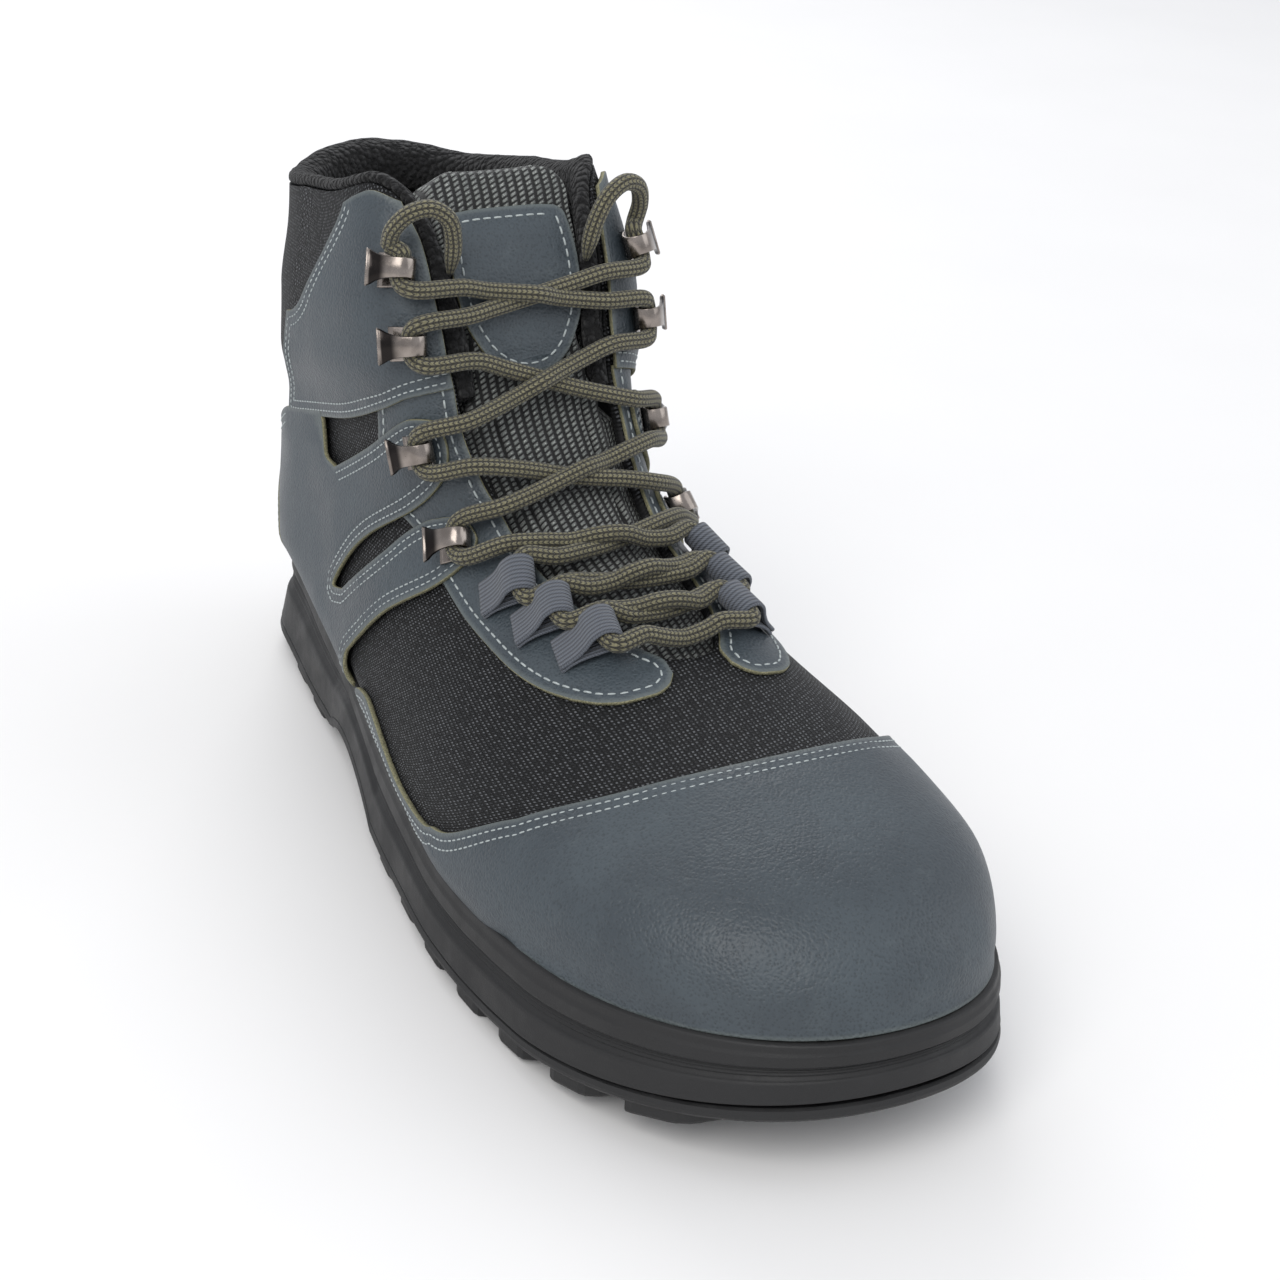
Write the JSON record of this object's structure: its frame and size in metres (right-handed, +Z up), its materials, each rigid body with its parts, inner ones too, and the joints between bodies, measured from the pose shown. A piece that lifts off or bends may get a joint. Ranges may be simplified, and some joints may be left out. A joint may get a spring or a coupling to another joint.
{
  "type": "wading boot",
  "caption": "Lace-up wading boot for the right foot with speed hooks, webbing loops, a padded knit tongue, a hollow upper and a lugged rubber sole.",
  "frame": {"origin": "on the floor, on the flat of the middle lug of the heel, on the boot's centre line", "axes": "+Z up, the toe points to -Y, +X is the inner (medial) side of the foot"},
  "size_m": [0.1096, 0.3047, 0.1632],
  "materials": {
    "blue_grey_leather": "smooth coated leather with light stitching",
    "coated_mesh": "black ballistic mesh with a coated back",
    "black_lining": "black fleece",
    "grey_knit": "dark grey ribbed knit over foam",
    "black_rubber": "matt black rubber",
    "dark_foam": "matt dark foam",
    "gunmetal": "dark nickel",
    "olive_braid": "round braid with light picks",
    "grey_webbing": "ribbed grey webbing"
  },
  "bodies": {
    "root": {"outsole": "black_rubber", "midsole": "dark_foam", "insole": "black_lining", "collar_lining": "black_lining", "tongue": "grey_knit", "upper": "coated_mesh", "tongue_label": "blue_grey_leather", "heel_counter": "blue_grey_leather", "toe_cap": "blue_grey_leather", "ankle_panel_lateral": "blue_grey_leather", "ankle_panel_medial": "blue_grey_leather", "eyestay_lateral": "blue_grey_leather", "eyestay_medial": "blue_grey_leather", "quarter_lateral": "blue_grey_leather", "quarter_medial": "blue_grey_leather", "hook_lateral_1": "gunmetal", "hook_lateral_2": "gunmetal", "hook_lateral_3": "gunmetal", "hook_lateral_4": "gunmetal", "hook_medial_1": "gunmetal", "hook_medial_2": "gunmetal", "hook_medial_3": "gunmetal", "hook_medial_4": "gunmetal", "lace_loop_lateral_1": "grey_webbing", "lace_loop_lateral_2": "grey_webbing", "lace_loop_lateral_3": "grey_webbing", "lace_loop_medial_1": "grey_webbing", "lace_loop_medial_2": "grey_webbing", "lace_loop_medial_3": "grey_webbing", "lace_crossing_1": "olive_braid", "lace_crossing_2": "olive_braid", "lace_crossing_3": "olive_braid", "lace_crossing_4": "olive_braid", "lace_crossing_5": "olive_braid", "lace_crossing_6": "olive_braid", "lace_bar": "olive_braid", "lace_end_lateral": "olive_braid", "lace_end_medial": "olive_braid"}
  },
  "joints": []
}
